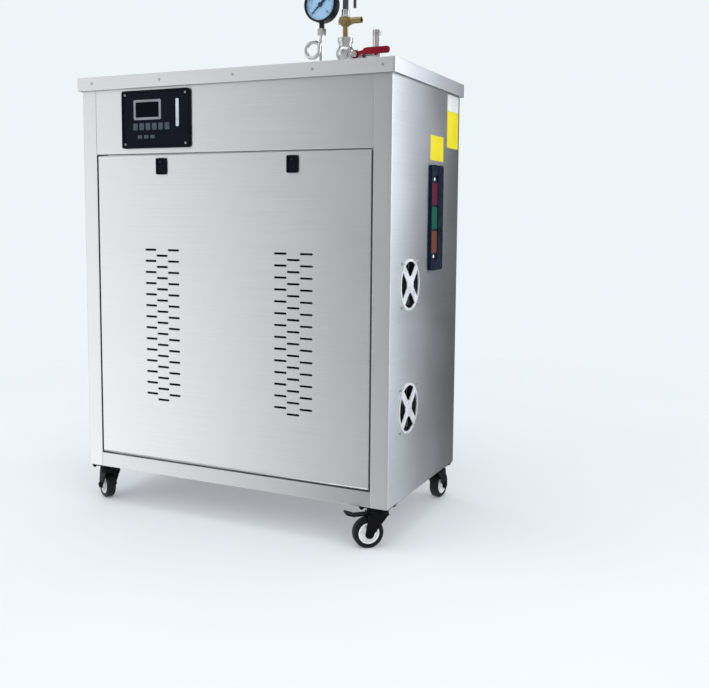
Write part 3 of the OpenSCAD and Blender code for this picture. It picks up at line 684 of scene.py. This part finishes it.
def outlet_thread():
    """Pipe thread at the mouth of the outlet."""
    low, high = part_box("steam_outlet")
    pipe_r = 0.0105
    valve_to_pipe = 0.044
    length = 0.0155
    pitch = 0.0018
    crest = 0.00055
    root = -0.0002
    flank = 0.0007
    turns = 8
    count = turns * TURN_STEPS
    axis_x = joints["steam_valve_turn"]["pos_m"][0] + valve_to_pipe
    axis_y = (low.y + high.y) / 2
    foot = high.z - length
    bm = bmesh.new()
    rows = []
    for i in range(count + 1):
        turn = i * math.tau / TURN_STEPS
        fade = min(1.0, i / TURN_STEPS, (count - i) / TURN_STEPS)
        outward = Vector((math.cos(turn), math.sin(turn), 0))
        lift = pitch * i / TURN_STEPS
        rows.append([
            bm.verts.new(Vector((axis_x, axis_y, foot + lift + dz)) + (pipe_r + out) * outward)
            for out, dz in ((root, -flank), (crest * fade, 0), (root, flank))
        ])
    for first, second in zip(rows, rows[1:]):
        for j in range(3):
            k = (j + 1) % 3
            bm.faces.new((first[j], first[k], second[k], second[j]))
    bm.faces.new(rows[0])
    bm.faces.new(list(reversed(rows[-1])))
    piece("outlet_thread", bm, materials["screw"])


def riser_trim():
    """A seal under the riser and the bright sleeve at the foot of the bonnet."""
    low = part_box("safety_valve_bonnet")[0]
    riser_x = low.x + 0.01
    rubber = ((0.031, 0), (0.031, 0.0012), (0.0302, 0.002), (0.02, 0.002))
    steel = (
        (0.0112, 0), (0.0112, 0.004), (0.0102, 0.005),
        (0.0102, 0.0185), (0.0098, 0.0195), (0.006, 0.0195),
    )
    seal = bmesh.new()
    lathe(seal, Matrix.Translation((riser_x, 0, LID_TOP)), rubber, FINE_STEPS)
    piece("riser_seal", seal, materials["tyre"])
    sleeve = bmesh.new()
    lathe(sleeve, Matrix.Translation((riser_x, 0, low.z)), steel)
    piece("bonnet_sleeve", sleeve, materials["fitting"])


# Casters

RIBS = 6
RIB_AT = (0.016, 0, 0.0064)
BEAD = ((0.0305, 0.0118), (0.0307, 0.0126), (0.0317, 0.0126), (0.0319, 0.0118))
NUT = ((0.01, 0), (0.01, 0.0045), (0.0088, 0.0052))
NUT_PITCH_X = 0.062
NUT_PITCH_Y = 0.054
STUD = ((0.003, 0), (0.003, 0.0022), (0.0024, 0.0028))
STUD_FOOT = 0.005
STUD_STEPS = 16
PLATE_THICK = 0.003


def wheel_details(corner):
    """Hub ribs and tyre beads on both faces of a wheel."""
    joint = joints[corner + "_wheel_spin"]
    wheel = facing(joint["pos_m"], joint["axis"])
    ribs = bmesh.new()
    beads = bmesh.new()
    for flip in (0, math.pi):
        face = wheel @ Matrix.Rotation(flip, 4, "X")
        for i in range(RIBS):
            spot = Matrix.Rotation(i * math.tau / RIBS, 4, "Z") @ Matrix.Translation(RIB_AT)
            plate(ribs, face @ spot, 0.0124, 0.0022, thick=0.0036, radius=0.0008, edge=0.0003)
        hoop(beads, face, BEAD, FINE_STEPS)
    piece(corner + "_hub_ribs", ribs, materials["hub"], body=corner + "_wheel")
    piece(corner + "_tyre_beads", beads, materials["tyre"], body=corner + "_wheel")


def plate_nuts():
    """Four nuts on studs under each caster plate."""
    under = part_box("caster_plates")[1].z - PLATE_THICK
    bm = bmesh.new()
    for corner in CORNERS:
        x, y = joints[corner + "_swivel_turn"]["pos_m"][:2]
        for dx in (-NUT_PITCH_X / 2, NUT_PITCH_X / 2):
            for dy in (-NUT_PITCH_Y / 2, NUT_PITCH_Y / 2):
                spot = facing((x + dx, y + dy, under), DOWNWARD, BACKWARD)
                skin(bm, [hexagon_ring(flats, rise) for flats, rise in NUT], spot)
                lathe(bm, spot @ raised(STUD_FOOT), STUD, STUD_STEPS)
    piece("caster_nuts", bm, materials["caster"])


# Camera

PHOTO_W = 709
PHOTO_H = 688
FOCAL_PX = 896
PRINCIPAL_PX = (355, 300)
SENSOR_MM = 36
CAMERA_AT = (1.248, -2.148, 0.806)
CAMERA_YAW = 24.93
CAMERA_PITCH = 5.52
CAMERA_ROLL = 0.47


def camera():
    """The photograph's viewpoint."""
    yaw, pitch, roll = (math.radians(a) for a in (CAMERA_YAW, CAMERA_PITCH, CAMERA_ROLL))
    ahead = Vector((-math.sin(yaw), math.cos(yaw), 0))
    right = Vector((math.cos(yaw), math.sin(yaw), 0))
    up = Vector(UPWARD)
    look = ahead * math.cos(pitch) - up * math.sin(pitch)
    rise = up * math.cos(pitch) + ahead * math.sin(pitch)
    side = right * math.cos(roll) + rise * math.sin(roll)
    top = rise * math.cos(roll) - right * math.sin(roll)
    data = bpy.data.cameras.new("camera")
    data.sensor_width = SENSOR_MM
    data.lens = FOCAL_PX / PHOTO_W * SENSOR_MM
    data.shift_x = (PHOTO_W / 2 - PRINCIPAL_PX[0]) / PHOTO_W
    data.shift_y = (PRINCIPAL_PX[1] - PHOTO_H / 2) / PHOTO_W
    data.clip_start = 0.05
    eye = bpy.data.objects.new("camera", data)
    eye.matrix_world = Matrix.Translation(CAMERA_AT) @ Matrix((side, top, -look)).transposed().to_4x4()
    bpy.context.scene.collection.objects.link(eye)
    bpy.context.scene.camera = eye


# Studio

# Cards beside the fan side that only metal shows: height of the middle, height of the card, watts
CARDS = {"card_high": (1.4, 1.3, 8.0), "card_middle": (0.425, 0.65, 2.6), "card_low": (-0.35, 0.9, 1.9)}
CARD_AT = (1.262, 0.796)
CARD_AIM = (0.692, -0.234)
CARD_W = 0.66
CARD_COLOR = (0.86, 0.92, 1.0)

# Brightness of the walls that metal shows, by degrees round the object: 0 behind it, 90 on the fan side
WALLS = (
    (-180, 0.5), (-171, 0.38), (-163, 0.28), (-156, 0.42), (-147, 0.84), (-138, 1.24),
    (-128, 1.34), (-114, 0.96), (-90, 0.72), (-50, 0.7), (-8, 0.55), (9, 0.12),
    (15, 0.05), (26, 0.06), (38, 0.34), (80, 0.55), (120, 0.55), (180, 0.5),
)
WALL_TINT = (0.97, 0.985, 1)


def softbox(name, at, target, width, height, power, glossy=True, diffuse=True, color=(1, 1, 1)):
    """A rectangular lamp that the camera doesn't see."""
    data = bpy.data.lights.new(name, "AREA")
    data.shape = "RECTANGLE"
    data.size = width
    data.size_y = height
    data.energy = power
    data.color = color
    lamp = bpy.data.objects.new(name, data)
    aim = Vector(target) - Vector(at)
    lamp.matrix_world = Matrix.Translation(at) @ aim.to_track_quat("-Z", "Y").to_matrix().to_4x4()
    lamp.visible_camera = False
    lamp.visible_glossy = glossy
    lamp.visible_diffuse = diffuse
    bpy.context.scene.collection.objects.link(lamp)


def lamps():
    """Soft lamps from the left, the right and above, and the cards."""
    softbox("key_left", (-2.9, -2.5, 1.3), (0, 0, 0.6), 2.2, 3.0, 10, glossy=False)
    softbox("fill_right", (3.4, -3.6, 2.9), (0.3, 0, 0.4), 2.6, 2.2, 36, glossy=False)
    softbox("top", (0, -0.3, 3.4), (0, 0, 0), 3.0, 2.6, 22)
    for name, (level, tall, power) in CARDS.items():
        at = (*CARD_AT, level)
        aim = (*CARD_AIM, level)
        softbox(name, at, aim, CARD_W, tall, power, diffuse=False, color=CARD_COLOR)


def ground():
    """A round pale floor, which metal doesn't show."""
    bm = bmesh.new()
    bmesh.ops.create_circle(bm, cap_ends=True, segments=96, radius=FLOOR_FADE[1])
    mesh = bpy.data.meshes.new("floor")
    bm.to_mesh(mesh)
    bm.free()
    mesh.materials.append(floor_finish())
    floor = bpy.data.objects.new("floor", mesh)
    bpy.context.scene.collection.objects.link(floor)
    floor.visible_glossy = False


def surroundings():
    """A pale world behind the object, soft light on it, and uneven walls in metal and glass."""
    world = bpy.data.worlds.new("studio")
    world.use_nodes = True
    tree = world.node_tree

    def node(kind, **settings):
        made = tree.nodes.new(kind)
        for key, value in settings.items():
            setattr(made, key, value)
        return made

    def ranged(*limits):
        made = node("ShaderNodeMapRange")
        for socket, number in zip(RANGE_SOCKETS, limits):
            made.inputs[socket].default_value = number
        return made

    light = tree.nodes["Background"]
    light.inputs["Color"].default_value = (0.92, 0.95, 0.98, 1)
    pale = node("ShaderNodeBackground")
    pale.inputs["Color"].default_value = (0.86, 0.915, 0.94, 1)
    walls = node("ShaderNodeBackground")
    ramp = node("ShaderNodeValToRGB")
    ramp.color_ramp.interpolation = "EASE"
    stops = ramp.color_ramp.elements
    while len(stops) < len(WALLS):
        stops.new(1.0)
    for stop, (degrees, level) in zip(stops, WALLS):
        stop.position = (degrees + 180) / 360
        stop.color = (*(tint * level for tint in WALL_TINT), 1)
    around = node("ShaderNodeTexCoord")
    split = node("ShaderNodeSeparateXYZ")
    turn = node("ShaderNodeMath", operation="ARCTAN2")
    part = ranged(-math.pi, math.pi)
    front_to_back = ranged(-1, 1, 1.36, 0.56)
    low_to_high = ranged(-0.35, 0.35, 1.25, 0.7)
    path = node("ShaderNodeLightPath")
    mirrored = node("ShaderNodeMath", operation="ADD", use_clamp=True)
    lit_or_mirrored = node("ShaderNodeMixShader")
    seen = node("ShaderNodeMixShader")
    for out, into in (
        (around.outputs["Generated"], split.inputs["Vector"]),
        (split.outputs["X"], turn.inputs[0]),
        (split.outputs["Y"], turn.inputs[1]),
        (turn.outputs["Value"], part.inputs["Value"]),
        (part.outputs["Result"], ramp.inputs["Fac"]),
        (ramp.outputs["Color"], walls.inputs["Color"]),
        (split.outputs["Y"], front_to_back.inputs["Value"]),
        (front_to_back.outputs["Result"], light.inputs["Strength"]),
        (split.outputs["Z"], low_to_high.inputs["Value"]),
        (low_to_high.outputs["Result"], walls.inputs["Strength"]),
        (path.outputs["Is Glossy Ray"], mirrored.inputs[0]),
        (path.outputs["Is Transmission Ray"], mirrored.inputs[1]),
        (mirrored.outputs["Value"], lit_or_mirrored.inputs["Fac"]),
        (light.outputs["Background"], lit_or_mirrored.inputs[1]),
        (walls.outputs["Background"], lit_or_mirrored.inputs[2]),
        (path.outputs["Is Camera Ray"], seen.inputs["Fac"]),
        (lit_or_mirrored.outputs["Shader"], seen.inputs[1]),
        (pale.outputs["Background"], seen.inputs[2]),
        (seen.outputs["Shader"], tree.nodes["World Output"].inputs["Surface"]),
    ):
        tree.links.new(out, into)
    bpy.context.scene.world = world


finish_nodes()
lid_screws()
control_screws()
fan_screws()
back_screws()
side_plates("yellow_plates", YELLOW_PLATES, "yellow")
side_plates("white_plate", WHITE_PLATES, "white")
gauge_ticks()
gauge_numbers()
gauge_needle()
gauge_glass()
gauge_bezel()
level_caps()
latch_locks()
panel_lip()
lever_grip()
outlet_thread()
riser_trim()
for caster in CORNERS:
    wheel_details(caster)
plate_nuts()
camera()
lamps()
ground()
surroundings()
bpy.context.scene.view_settings.view_transform = "Standard"
